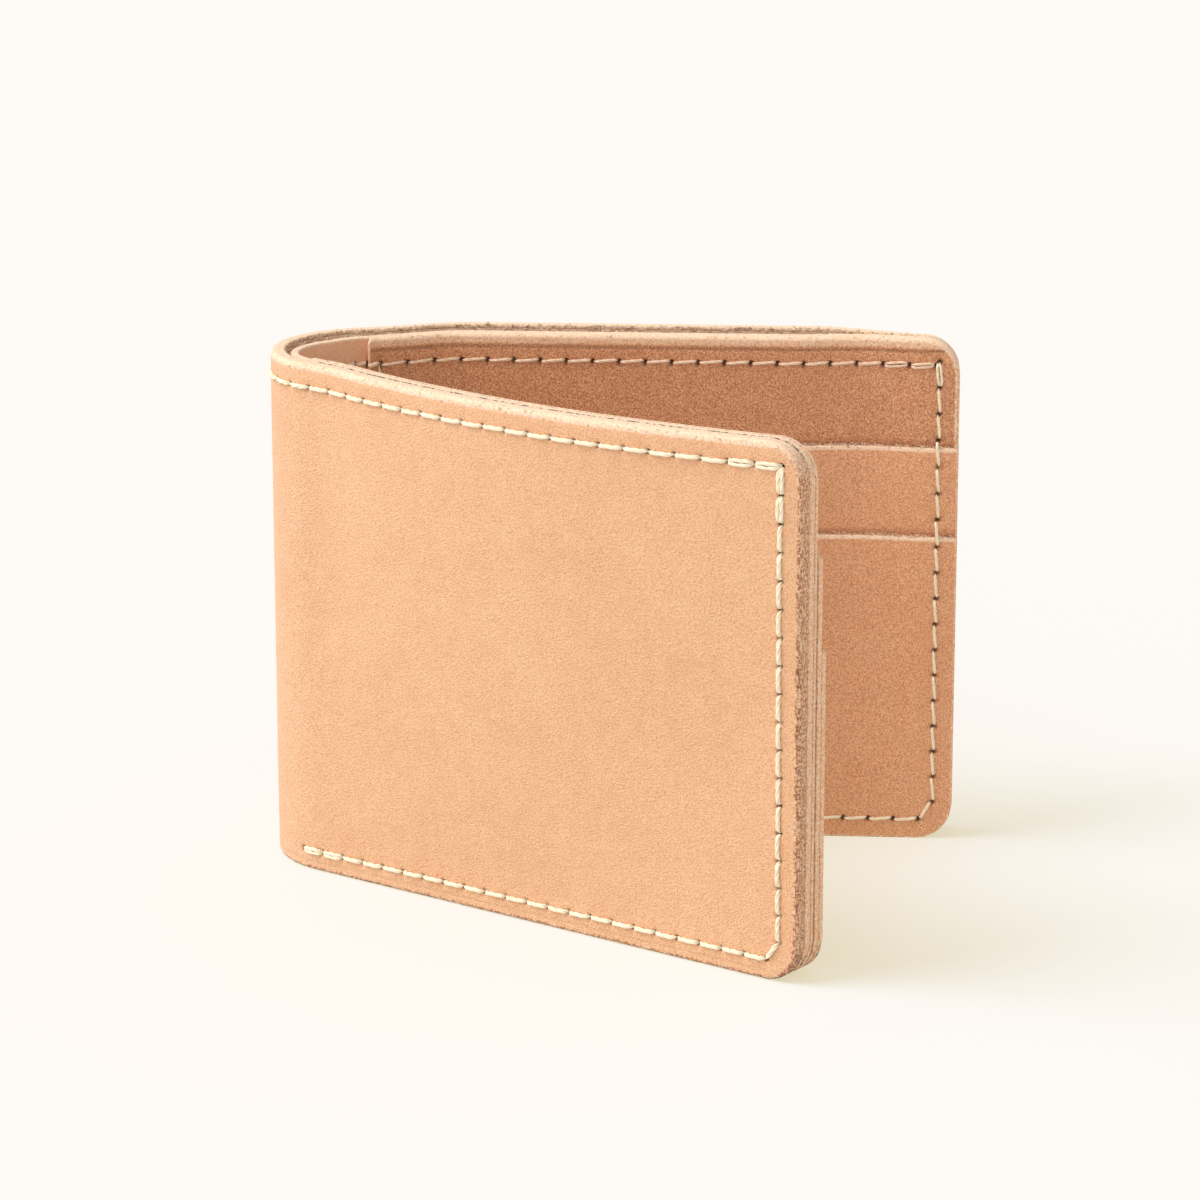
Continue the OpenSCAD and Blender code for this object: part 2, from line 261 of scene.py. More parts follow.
class Sheet:
    """Gathers the vertices and faces of one piece of leather."""

    def __init__(self, half):
        self.half = half
        self.points, self.lay, self.mark, self.faces = [], [], [], []
        self.count = 0

    def add(self, s, n, z, edge, flesh, dark):
        """Adds vertices and returns their numbers. edge, flesh and dark are shares for the material."""
        self.points.append(place(self.half, s, n, z))
        self.lay.append(np.stack([along(self.half, s), z, n], -1))
        self.mark.append(np.stack(np.broadcast_arrays(edge, flesh, dark, s)[:3], -1))
        ids = np.arange(self.count, self.count + len(s))
        self.count += len(s)
        return ids

    def strip(self, a, b):
        """Quads between two rows of vertices."""
        self.faces += [
            (a[i], b[i], b[i + 1], a[i + 1]) for i in range(len(a) - 1)
        ]

    def hairs(self, s, depth, z, reach_out, out):
        """Loose fibres rooted at the places given. Each is a bent, closed spike of three sides that
        leans along the sheet and up, and stands off the sheet by up to reach_out. out is the fine
        face's way, which the windings follow."""
        count = len(s)
        turn = rng.uniform(0.15, math.pi - 0.15, count)
        length = rng.uniform(0.4, 1.1, count)
        stand, curl = reach_out * rng.uniform(0.1, 1.0, count), rng.normal(0, 0.25, count)
        rings = []
        for share, width in ((0.0, 1.0), (0.5, 0.85), (1.0, 0.3)):
            reach = length * share
            cs = s + reach * np.cos(turn) + curl * share**2
            cz = z + reach * np.sin(turn) * (1 - 0.3 * share)
            cn = face_n(self.half, depth, cs, cz) + stand * share
            ring = []
            for side in range(3):
                a = 2 * math.pi * side / 3
                x, y = out * HAIR_R * width * math.cos(a), HAIR_R * width * math.sin(a)
                ring.append(self.add(cs - x * np.sin(turn), cn + y, cz + x * np.cos(turn), 1.0, 1.0, 0.0))
            rings.append(ring)
        for low, high in zip(rings[:-1], rings[1:]):
            for side in range(3):
                a, b, c, d = low[side], low[side - 2], high[side - 2], high[side]
                self.faces += list(zip(a, b, c, d))
        self.faces += list(zip(*rings[-1]))
        self.faces += list(zip(*reversed(rings[0])))

    def build(self, name, material):
        points = np.concatenate(self.points) * MM
        mesh = bpy.data.meshes.new(name)
        mesh.from_pydata(points, [], [tuple(int(i) for i in f) for f in self.faces])
        for label, rows in (("lay", self.lay), ("mark", self.mark)):
            values = np.concatenate(rows).astype(np.float32)
            attribute = mesh.attributes.new(label, "FLOAT_VECTOR", "POINT")
            attribute.data.foreach_set("vector", values.ravel())
        mesh.polygons.foreach_set("use_smooth", [True] * len(mesh.polygons))
        mesh.materials.append(material)
        mesh.update()
        piece = bpy.data.objects.new(name, mesh)
        bpy.context.scene.collection.objects.link(piece)
        return piece


def grid_faces(fine_cell, ids):
    """Faces of a grid of vertex numbers. A block of STRIDE by STRIDE cells that isn't fine is one
    polygon, which takes in the fine vertices of its neighbours' sides."""
    columns, rows = ids.shape
    col_lines, row_lines = fine_cell["columns"], fine_cell["rows"]
    fine = fine_cell["fine"]
    used = np.zeros(ids.shape, bool)
    faces = []

    def is_fine(a, b):
        return 0 <= a < fine.shape[0] and 0 <= b < fine.shape[1] and fine[a, b]

    blocks = [(a, b) for a in range(len(col_lines) - 1) for b in range(len(row_lines) - 1)]
    for a, b in blocks:
        i0, i1, j0, j1 = col_lines[a], col_lines[a + 1], row_lines[b], row_lines[b + 1]
        if fine[a, b]:
            for i in range(i0, i1):
                for j in range(j0, j1):
                    faces.append((ids[i, j], ids[i + 1, j], ids[i + 1, j + 1], ids[i, j + 1]))
            used[i0 : i1 + 1, j0 : j1 + 1] = True
            continue
        below = range(i0, i1) if is_fine(a, b - 1) else [i0]
        right = range(j0, j1) if is_fine(a + 1, b) else [j0]
        above = range(i1, i0, -1) if is_fine(a, b + 1) else [i1]
        left = range(j1, j0, -1) if is_fine(a - 1, b) else [j1]
        ring = [ids[i, j0] for i in below] + [ids[i1, j] for j in right]
        ring += [ids[i, j1] for i in above] + [ids[i0, j] for j in left]
        faces.append(tuple(ring))
        used[[i0, i0, i1, i1], [j0, j1, j0, j1]] = True
    return faces, used


def block_lines(fixed, count):
    """Indices of the lines between blocks: all of the fixed ones and the last."""
    return sorted(set(fixed) | {0, count - 1})


def leather(half, depth_fine, depth_coarse, columns, rows, col_blocks, row_blocks, options):
    """One sheet. columns is (values of s at the bottom, values at the top), rows the values of z before
    the corners are rounded. The face at depth_fine has the fine grid. The edge rings run from it round
    to the other face, where the last one lies on that face's border without being joined to it."""
    outline = options["outline"]
    s_low, s_high, z_high, rounded = outline
    out = -1 if depth_fine > depth_coarse else 1  # way from the fine face out of the leather
    thick = abs(depth_coarse - depth_fine)
    round_fine, round_coarse = options["rounding"]
    sheet = Sheet(half)

    low_s, high_s = (np.array(c, float) for c in columns)
    z_line = np.array(rows, float)
    share = z_line / z_high
    s = low_s[:, None] + (high_s - low_s)[:, None] * share[None, :]
    z = np.broadcast_to(z_line, s.shape).copy()
    shear = options.get("shear", 0.0)
    if shear:
        z -= shear * (1 - smooth(s / HALF_L)) * np.sin(math.pi * share)
    low, high = np.full(s.shape, round_fine), np.full(s.shape, z_high - round_fine)
    if s_high is not None:
        x = np.clip((s - (s_high - CORNER_R)) / (CORNER_R - round_fine), 0, 1)
        lift = (CORNER_R - round_fine) * (1 - np.sqrt(1 - x * x))
        low = low + lift
        z += lift * np.clip(1 - (z_line - round_fine) / 8, 0, 1)[None, :]
        if rounded:
            high = high - lift
            z -= lift * np.clip(1 - (z_high - round_fine - z_line) / 8, 0, 1)[None, :]
    z[:, 0], z[:, -1] = low[:, 0], high[:, -1]

    up, dark = relief(half, s.ravel(), z.ravel(), outline, options["holes"], options["crease"])
    d = border_distance(s, z, outline).ravel()
    n = face_n(half, np.full(s.size, depth_fine), s.ravel(), z.ravel()) + out * up
    n = n.reshape(s.shape)

    edge_zone = 0.4 * np.exp(-(((d - round_fine) / 0.2) ** 2))
    top_d = z_high - z.ravel()
    flesh = smooth(1 - top_d / 3)
    if options.get("raw_top"):
        edge_zone = np.maximum(edge_zone, 0.9 * np.exp(-((top_d / options["raw_top"]) ** 4)))
    if options.get("pale_band"):
        edge_zone = np.maximum(edge_zone, 0.44 * np.exp(-((top_d / options["pale_band"]) ** 10)))
    all_ids = np.arange(s.size).reshape(s.shape)
    fine = np.zeros((len(col_blocks) - 1, len(row_blocks) - 1), bool)
    for a in range(len(col_blocks) - 1):
        for b in range(len(row_blocks) - 1):
            centre_s = (s[col_blocks[a], row_blocks[b]] + s[col_blocks[a + 1], row_blocks[b]]) / 2
            z0, z1 = z_line[row_blocks[b]], z_line[row_blocks[b + 1]]
            fine[a, b] = options["fine"](centre_s, (z0 + z1) / 2)
    fine[:, 0] = fine[:, -1] = True
    if s_high is not None:
        fine[-1, :] = True
    if s_low is not None:
        fine[0, :] = True
    faces, used = grid_faces({"columns": col_blocks, "rows": row_blocks, "fine": fine}, all_ids)
    number = np.full(s.size, -1)
    keep = used.ravel()
    number[keep] = np.arange(keep.sum())
    sheet.add(
        s.ravel()[keep], n.ravel()[keep], z.ravel()[keep], edge_zone[keep],
        flesh[keep] * (edge_zone[keep] > 0.01), dark[keep],
    )
    sheet.faces += [tuple(number[list(f)]) for f in faces]
    ids = number.reshape(s.shape)

    # The border of the fine face, in order, with the way out of the sheet at each vertex
    path = []
    columns_n, rows_n = s.shape
    path += [(i, 0) for i in range(columns_n) if used[i, 0]]
    if s_high is not None:
        path += [(columns_n - 1, j) for j in range(1, rows_n) if used[columns_n - 1, j]]
        path += [(i, rows_n - 1) for i in range(columns_n - 2, -1, -1) if used[i, rows_n - 1]]
        chains = [path]
    else:
        chains = [path, [(i, rows_n - 1) for i in range(columns_n - 1, -1, -1) if used[i, rows_n - 1]]]
    if s_low is not None:
        chains[-1] += [(0, j) for j in range(rows_n - 2, -1, -1) if used[0, j]]

    for chain in chains:
        ci, cj = np.array(chain).T
        bs, bz, bn = s[ci, cj], z[ci, cj], n[ci, cj]
        way_s, way_z = np.zeros(len(ci)), np.zeros(len(ci))
        way_z[cj == 0] = -1
        way_z[cj == rows_n - 1] = 1
        if s_high is not None:
            on_end = ci == columns_n - 1
            way_s[on_end], way_z[on_end] = 1, 0
            for centre_z, on in ((CORNER_R, True), (z_high - CORNER_R, rounded)):
                centre_s = s_high - CORNER_R
                below = bz < centre_z if centre_z < z_high / 2 else bz > centre_z
                arc = (bs > centre_s) & below & on
                ds, dz = bs - centre_s, bz - centre_z
                r = np.maximum(np.hypot(ds, dz), 1e-6)
                way_s = np.where(arc, ds / r, way_s)
                way_z = np.where(arc, dz / r, way_z)
        if s_low is not None:
            on_start = (ci == 0) & (cj > 0) & (cj < rows_n - 1)
            way_s[on_start], way_z[on_start] = -1, 0
        base = face_n(half, np.full(len(bs), depth_fine), bs, bz)
        previous = ids[ci, cj]
        flat = thick - round_fine - round_coarse
        rings = [(round_fine * math.sin(a), round_fine * (1 - math.cos(a))) for a in
                 np.radians([18, 36, 54, 72, 90])]
        rings += [(round_fine, round_fine + flat * f) for f in (0.33, 0.67, 1.0)]
        rings += [
            (round_fine - round_coarse * (1 - math.cos(a)), thick - round_coarse * (1 - math.sin(a)))
            for a in np.radians([30, 60, 90])
        ]
        rings.append((round_fine - round_coarse - BACK_LAP, thick))
        for k, (e, deep) in enumerate(rings):
            rs, rz = bs + way_s * e, bz + way_z * e
            rn = face_n(half, depth_fine + out * deep, rs, rz)
            blend_in = max(0.0, 1 - deep / thick)
            rn = rn + (bn - base) * blend_in
            last = k >= len(rings) - 1
            on_edge = 0.0 if last else min(1.0, 0.5 + deep / (2 * round_fine)) if k < 5 else 1.0
            pale = np.clip(way_z, 0, 1)
            # Painted shade under the bottom edge, deepening towards the underside that meets the floor.
            line = (0.1, 0.5, 1.2, 2.0)[min(k, 3)] * np.clip(-way_z, 0, 1)
            if k == 1:
                line = np.maximum(line, 0.45 * (1 - pale))
            # Painted shade in the gap between this sheet and the next: the line between shell and liner
            # at the top, and the join between layers along the other edges.
            elif k >= len(rings) - 4:
                line = options.get("gap_shade", 0.5) * pale
                line += 0.45 * (1 - pale) if k >= len(rings) - 2 else 0
            now = sheet.add(rs, rn, rz, on_edge, 1.0 if last else pale, line)
            sheet.strip(previous, now)
            if s_low is not None:
                sheet.faces.append((previous[-1], now[-1], now[0], previous[0]))
            previous = now

    # The other face
    inset = round_coarse + BACK_LAP
    start = s[0, 0] if s_low is None else s_low + inset
    end = (s[-1, 0] if s_high is None else s_high - inset)
    cs = np.array(options["coarse_columns"](start, end))
    cz = np.linspace(inset, z_high - inset, COARSE_ROWS)
    gs, gz = np.meshgrid(cs, cz, indexing="ij")
    if s_high is not None:
        r = CORNER_R - inset
        x = np.clip((gs - (s_high - CORNER_R)) / r, 0, 1)
        lift = r * (1 - np.sqrt(1 - x * x))
        t = (cz - inset) / (z_high - 2 * inset)
        gz = gz + lift * (1 - t)[None, :] - (lift * t[None, :] if rounded else 0)
    gn = face_n(half, np.full(gs.size, depth_coarse), gs.ravel(), gz.ravel())
    back = sheet.add(gs.ravel(), gn, gz.ravel(), 0.0, 1.0, 0.0).reshape(gs.shape)
    for i in range(gs.shape[0] - 1):
        for j in range(gs.shape[1] - 1):
            sheet.faces.append((back[i, j], back[i, j + 1], back[i + 1, j + 1], back[i + 1, j]))

    # Loose fibres: on a pocket's cut top edge, or on the flesh side below a sheet's top edge
    if options.get("hairs"):
        low, high = (start, end) if s_high is None else (start + 1, end - CORNER_R * rounded)
        count = int((high - low) * HAIRS_PER_MM)
        hair_s = rng.uniform(low, high, count)
        if options["hairs"] == "top":
            depth = depth_coarse + (depth_fine - depth_coarse) * rng.uniform(0.1, 0.8, count)
            sheet.hairs(hair_s, depth, z_high - rng.uniform(0.0, 0.12, count), 0.15 * out, out)
        else:
            below = rng.uniform(0.05, 1.7, count)
            root = np.full(count, depth_coarse - 0.02 * out)
            sheet.hairs(hair_s, root, z_high - below, -0.5 * out, out)

    # Faces turn outwards: the fine face's own side decides for the whole sheet.
    flip = (out > 0) == (half == "back")
    if flip:
        sheet.faces = [tuple(reversed(f)) for f in sheet.faces]
    return sheet


def half_grid(top_holes, start, z_high, z_holes, inset):
    """Grid lines of a half's sheet: columns at the bottom and the top, rows, and block lines."""
    top_holes = [h for h in top_holes if h > 0]
    bottom_holes = [h for h in BOTTOM_HOLES_S if h > 0]
    end = HALF_L - inset
    lead = [start] if start >= 0 else ramp(start + inset, 0, LEAD_SHARES)
    high = lead + pitched(top_holes) + ramp(top_holes[-1], end, END_SHARES)
    low = lead + pitched(bottom_holes) + ramp(bottom_holes[-1], end, END_SHARES)
    first = len(lead)
    stops = list(range(first, first + STRIDE * 2 * (len(top_holes) - 1) + 1, STRIDE))
    col_blocks = block_lines(stops, len(high))
    holes = z_holes
    if z_holes[-1] >= z_high:
        holes = [h for h in z_holes if h < z_high - 4]
    bottom = [inset] + ramp(inset, BOTTOM_ROW_Z, (0.05, 0.11, 0.18, 0.25, 0.32, 0.4, 0.5, 0.65, 0.8,
                                                  0.88, 0.94, 1))
    bottom += ramp(BOTTOM_ROW_Z, holes[0], (0.05, 0.11, 0.18, 0.3, 0.5, 0.7, 0.85, 0.93))
    top = ramp(holes[-1], z_high - inset, END_SHARES)
    rows = bottom + pitched(holes) + top
    first = len(bottom)
    stops = list(range(first, first + STRIDE * 2 * (len(holes) - 1) + 1, STRIDE))
    row_blocks = block_lines(stops, len(rows))
    return (low, high), rows, col_blocks, row_blocks


def even(step):
    return lambda a, b: np.linspace(a, b, max(2, int(round((b - a) / step)) + 1))


def corner_columns(a, b):
    """Coarse columns of a half, closer round the free corners."""
    arc = HALF_L - CORNER_R
    return list(np.linspace(a, arc, 40)) + [arc + (b - arc) * math.sin(t) for t in
                                           np.linspace(0.12, math.pi / 2, 12)]


def edge_holes():
    """Holes of the edge seam."""
    side = [(EDGE_S, z) for z in SIDE_HOLES_Z]
    return side + [(s, BOTTOM_ROW_Z) for s in BOTTOM_HOLES_S]


def on_border(s_low, z_high):
    """A test of whether a block with its centre at s, z is in the border of a half's face."""
    def test(s, z):
        near = z < BAND or z > z_high - BAND or s > HALF_L - BAND
        return near or (s_low is not None and s < s_low + BAND)
    return test


def half_pieces(half, skins):
    made = []
    body = half + "_half"
    shell_skin, liner_skin, shaded_panel_skin, pocket_skin = skins
    outline = (None, HALF_L, HEIGHT, True)
    holes = [(s, SHELL_ROW_Z) for s in SHELL_HOLES_S] + edge_holes()
    grid = half_grid(SHELL_HOLES_S, 0.0, HEIGHT, SIDE_HOLES_Z, SHELL_ROUND[0])
    sheet = leather(half, 0.0, SHELL_T, *grid, {
        "outline": outline, "rounding": SHELL_ROUND, "holes": holes,
        "crease": CREASES["shell"], "fine": on_border(None, HEIGHT),
        "hairs": "flesh" if half == "back" else None, "raw_top": SHELL_RAW,
        "gap_shade": GAP_SHADE[half],
        "coarse_columns": corner_columns})
    made.append((sheet, half + "_shell_leather", shell_skin, half + "_shell", "shell_leather"))

    # The liner's inner face shows only beside the panel, so its fine grid is there.
    holes = [(s, LINER_ROW_Z) for s in LINER_HOLES_S if s < PANEL_S]
    grid = half_grid(LINER_HOLES_S, 0.0, HEIGHT, SIDE_HOLES_Z, LINER_ROUND[0])
    sheet = leather(half, LINER_DEPTH + LINER_T, LINER_DEPTH, *grid, {
        "outline": outline, "rounding": LINER_ROUND, "holes": holes, "crease": None,
        "fine": lambda s, z: z > HEIGHT - 4 or z < 2 or s > HALF_L - 6,
        "hairs": "flesh" if half == "back" else None, "gap_shade": GAP_SHADE[half],
        "coarse_columns": corner_columns})
    made.append((sheet, half + "_liner_leather", liner_skin, half + "_liner", "liner_leather"))

    seam = [(PANEL_SEAM_S, z) for z in PANEL_HOLES_Z]
    for part, depth, top, visible_from in (
        ("card_panel", PANEL_DEPTH, HEIGHT, UPPER_TOP - 3),
        ("upper_pocket", UPPER_DEPTH, UPPER_TOP, LOWER_TOP - 3),
        ("lower_pocket", LOWER_DEPTH, LOWER_TOP, 0),
    ):
        panel = part == "card_panel"
        holes = seam + edge_holes() + ([(s, LINER_ROW_Z) for s in LINER_HOLES_S] if panel else [])
        holes = [h for h in holes if h[1] < top - 1]
        if not panel:
            holes = [h for h in holes if h[1] > visible_from - 3]
        rounding = PANEL_ROUND if panel else POCKET_ROUND
        grid = half_grid(LINER_HOLES_S, PANEL_S, top, SIDE_HOLES_Z, rounding[0])
        fine = on_border(PANEL_S, top)
        sheet = leather(half, depth + POCKET_T, depth, *grid, {
            "outline": (PANEL_S, HALF_L, top, panel), "rounding": rounding, "holes": holes,
            "crease": CREASES.get(part),
            "fine": lambda s, z, fine=fine, low=visible_from, top=top: fine(s, z) and (
                z > low or z < 1.5 or s > HALF_L - 2 or s < PANEL_S + 1),
            "raw_top": PANEL_RAW if panel else POCKET_RAW, "pale_band": PANEL_PALE if panel else None,
            "hairs": None if panel else "top",
            "shear": 0.8, "coarse_columns": corner_columns})
        made.append((sheet, half + "_" + part + "_leather", shaded_panel_skin if panel else pocket_skin,
                     half + "_" + part, "pocket_leather"))
    for sheet, name, skin, node, slot in made:
        piece = sheet.build(name, skin)
        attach(piece, body)
        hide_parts(node)


def fold_piece(piece, nodes):
    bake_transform(piece)
    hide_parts(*nodes)


def fold_pieces(shell_skin, liner_skin):
    """The spine: for each fold, a piece of shell and one of liner."""
    for k in range(1, FOLDS + 1):
        lines = [-STRIP_S * k + HINGE_S * i for i in range(3)]
        columns = pitched(lines)
        col_blocks = list(range(0, len(columns), STRIDE))
        strip = min(k, FOLDS - 1)
        holes = [(s, SHELL_ROW_Z) for s in lines]
        if k == 1:
            holes.append((BOTTOM_START_S, BOTTOM_ROW_Z))
        if k == FOLDS:
            holes.append((-BEND_S - BOTTOM_START_S, BOTTOM_ROW_Z))
        _, rows, _, row_blocks = half_grid(SHELL_HOLES_S, 0.0, HEIGHT, SIDE_HOLES_Z, SHELL_ROUND[0])
        sheet = leather("back", 0.0, SHELL_T, (columns, columns), rows, col_blocks, row_blocks, {
            "outline": (None, None, HEIGHT, False), "rounding": SHELL_ROUND, "holes": holes,
            "crease": CREASES["shell"], "fine": lambda s, z: True,
            "hairs": "flesh" if k <= HAIRY_FOLDS else None, "raw_top": SHELL_RAW,
            "gap_shade": GAP_SHADE["fold"],
            "coarse_columns": even(COARSE_STEP)})
        piece = sheet.build("fold_%d_shell_leather" % k, shell_skin)
        fold_piece(piece, ["spine_shell_%d" % strip])

        holes = [(s, LINER_ROW_Z) for s in lines]
        _, rows, _, row_blocks = half_grid(SHELL_HOLES_S, 0.0, HEIGHT, SIDE_HOLES_Z, LINER_ROUND[0])
        sheet = leather("back", LINER_DEPTH + LINER_T, LINER_DEPTH, (columns, columns), rows,
                        col_blocks, row_blocks, {
            "outline": (None, None, HEIGHT, False), "rounding": LINER_ROUND, "holes": holes,
            "crease": None, "fine": lambda s, z: True,
            "hairs": "flesh" if k <= HAIRY_FOLDS else None, "gap_shade": GAP_SHADE["fold"],
            "coarse_columns": even(COARSE_STEP)})
        piece = sheet.build("fold_%d_liner_leather" % k, liner_skin)
        fold_piece(piece, ["spine_liner_%d" % strip])


# ---------------------------------------------------------------- thread

RUN_SHARES = np.array([0, 0.035, 0.08, 0.15, 0.27, 0.42, 0.58, 0.73, 0.85, 0.92, 0.965, 1.0])
STRAND_SIDES = 6
STRANDS = 3
STRAND_R, STRAND_LEAN = 0.205, 0.175  # a strand's radius, and how far its middle is off the thread's
TWIST_LENGTH = 4.6
HOLE_END, DIP = 0.3, 0.7  # a stitch's ends: how far in from the holes' middles, and how deep
PAIR_ASIDE, PAIR_SIZE = 0.29, 0.86  # of the two threads of a doubled stitch


class Thread:
    """Gathers stitches: three twisted strands each, which rise out of one hole and dip into the next.
    The strands are wound alike for every half and side, so on some faces they are inside out."""

    def __init__(self):
        self.points, self.faces, self.lay = [], [], []
        self.count = 0

    def stitch(self, half, a, b, depth, out, lift=0.2, slant=0.0, aside=0.0, size=1.0):
        """From hole a to hole b, each (s, z), over the face at that depth, whose outer side is out."""
        a, b = np.array(a, float), np.array(b, float)
        run = b - a
        length = np.linalg.norm(run)
        run = run / length
        across = np.array([-run[1], run[0]])
        t = RUN_SHARES
        u = HOLE_END + (length - 2 * HOLE_END) * t
        bend = 2 * t - 1
        h = lift - (DIP + lift) * np.abs(bend) ** 10
        side = aside * (1 - bend**4 * 0.6) + slant * bend * 0.5 + rng.normal(0, 0.02)
        side = side + rng.normal(0, 0.03) * (1 - bend**2)
        slope_u, slope_h = np.gradient(u), np.gradient(h)
        norm = np.hypot(slope_u, slope_h)
        slope_u, slope_h = slope_u / norm, slope_h / norm
        thin = size * (1 - 0.25 * np.abs(bend) ** 8)
        phase = rng.uniform(0, 2 * math.pi)
        for k in range(STRANDS):
            turn = phase + 2 * math.pi * (k / STRANDS + u / TWIST_LENGTH)
            for f in range(STRAND_SIDES):
                angle = 2 * math.pi * f / STRAND_SIDES
                radius = STRAND_R * thin
                lean = STRAND_LEAN * thin
                x = lean * np.cos(turn) + radius * math.cos(angle)
                y = lean * np.sin(turn) + radius * math.sin(angle)
                along_run = u - slope_h * y
                height = h + slope_u * y
                places = a[None, :] + along_run[:, None] * run + (side + x)[:, None] * across
                s, z = places[:, 0], places[:, 1]
                n = face_n(half, np.full(len(s), float(depth)), s, z) + out * height
                self.points.append(place(half, s, n, z))
                self.lay.append(np.stack([u + 7.3 * self.count, x, y], -1))
            base, m = self.count, len(t)
            for f in range(STRAND_SIDES):
                g = (f + 1) % STRAND_SIDES
                for i in range(m - 1):
                    self.faces.append((base + f * m + i, base + g * m + i, base + g * m + i + 1,
                                       base + f * m + i + 1))
            self.faces.append(tuple(base + f * m for f in range(STRAND_SIDES)))
            self.faces.append(tuple(base + f * m + m - 1 for f in reversed(range(STRAND_SIDES))))
            self.count += STRAND_SIDES * m

    def doubled(self, half, a, b, depth, out, size=1.0, **more):
        for aside in (-PAIR_ASIDE, PAIR_ASIDE):
            self.stitch(half, a, b, depth, out, aside=aside, size=PAIR_SIZE * size, **more)

    def build(self, name, material, warm=0.0):
        mesh = bpy.data.meshes.new(name)
        mesh.from_pydata(np.concatenate(self.points) * MM, [], self.faces)
        tint = mesh.attributes.new("warm", "FLOAT", "POINT")
        tint.data.foreach_set("value", [warm] * len(mesh.vertices))
        attribute = mesh.attributes.new("lay", "FLOAT_VECTOR", "POINT")
        attribute.data.foreach_set("vector", np.concatenate(self.lay).astype(np.float32).ravel())
        mesh.polygons.foreach_set("use_smooth", [True] * len(mesh.polygons))
        mesh.materials.append(material)
        mesh.update()
        piece = bpy.data.objects.new(name, mesh)
        bpy.context.scene.collection.objects.link(piece)
        return piece


def inner_depth(s, z):
    """Depth of the innermost face at a place on a half."""
    if s < PANEL_S:
        return LINER_DEPTH + LINER_T
    if z > UPPER_TOP:
        return PANEL_DEPTH + POCKET_T
    return (UPPER_DEPTH if z > LOWER_TOP else LOWER_DEPTH) + POCKET_T


def half_threads(half, skin):
    body = half + "_half"
    inside = {"slant": 0.36, "lift": 0.12, "size": 0.74}

    edge = Thread()
    for k in range(SIDE_STITCHES):
        a, b = (EDGE_S, SIDE_HOLES_Z[k]), (EDGE_S, SIDE_HOLES_Z[k + 1])
        sew = edge.doubled if k >= SIDE_STITCHES - 2 else edge.stitch
        sew(half, a, b, 0.0, 1)
        sew = edge.doubled if k == SIDE_STITCHES - 1 else edge.stitch
        sew(half, a, b, inner_depth(EDGE_S, a[1]), -1, **inside)
    corner, low = (CORNER_HOLE_S, BOTTOM_ROW_Z), (EDGE_S, SIDE_HOLES_Z[0])
    edge.stitch(half, corner, low, 0.0, 1)
    edge.stitch(half, corner, low, inner_depth(EDGE_S, 0), -1, **inside)
    for k in range(1, ROW_STITCHES):
        a, b = (BOTTOM_HOLES_S[k], BOTTOM_ROW_Z), (BOTTOM_HOLES_S[k + 1], BOTTOM_ROW_Z)
        sew = edge.doubled if k == 1 else edge.stitch
        sew(half, a, b, 0.0, 1)
        edge.stitch(half, a, b, inner_depth(a[0], a[1]), -1, **inside)

    shell_row, liner_row = Thread(), Thread()
    for k in range(1, ROW_STITCHES):
        a, b = (SHELL_HOLES_S[k], SHELL_ROW_Z), (SHELL_HOLES_S[k + 1], SHELL_ROW_Z)
        sew = shell_row.doubled if k >= ROW_STITCHES - 2 else shell_row.stitch
        sew(half, a, b, 0.0, 1)
        shell_row.stitch(half, a, b, SHELL_T, -1, **inside)
        a, b = (LINER_HOLES_S[k], LINER_ROW_Z), (LINER_HOLES_S[k + 1], LINER_ROW_Z)
        sew = liner_row.doubled if k >= ROW_STITCHES - 2 else liner_row.stitch
        sew(half, a, b, PANEL_DEPTH + POCKET_T, -1, **inside)
        liner_row.stitch(half, a, b, LINER_DEPTH, 1)

    side, foot = Thread(), Thread()
    for a, b in zip(PANEL_HOLES_Z[:-1], PANEL_HOLES_Z[1:]):
        side.stitch(half, (PANEL_SEAM_S, a), (PANEL_SEAM_S, b), inner_depth(0, a), -1, **inside)
        side.stitch(half, (PANEL_SEAM_S, a), (PANEL_SEAM_S, b), LINER_DEPTH, 1)
    for k in range(ROW_STITCHES - 3):
        s = PANEL_SEAM_S + (k + 1) * SIDE_PITCH
        foot.stitch(half, (s, FOOT_Z), (s + SIDE_PITCH, FOOT_Z), UPPER_DEPTH + POCKET_T, -1, lift=0.02,
                    size=0.4)

    for thread, label, node in (
        (edge, "edge_thread", "edge_seam"), (shell_row, "shell_top_thread", "shell_top_stitching"),
        (liner_row, "liner_top_thread", "liner_top_stitching"),
        (side, "panel_side_thread", "panel_side_seam"), (foot, "pocket_foot_thread", "pocket_foot_seam"),
    ):
        piece = thread.build(half + "_" + label, skin, 1.0 if thread is liner_row else 0.0)
        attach(piece, body)
        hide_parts(half + "_" + node)


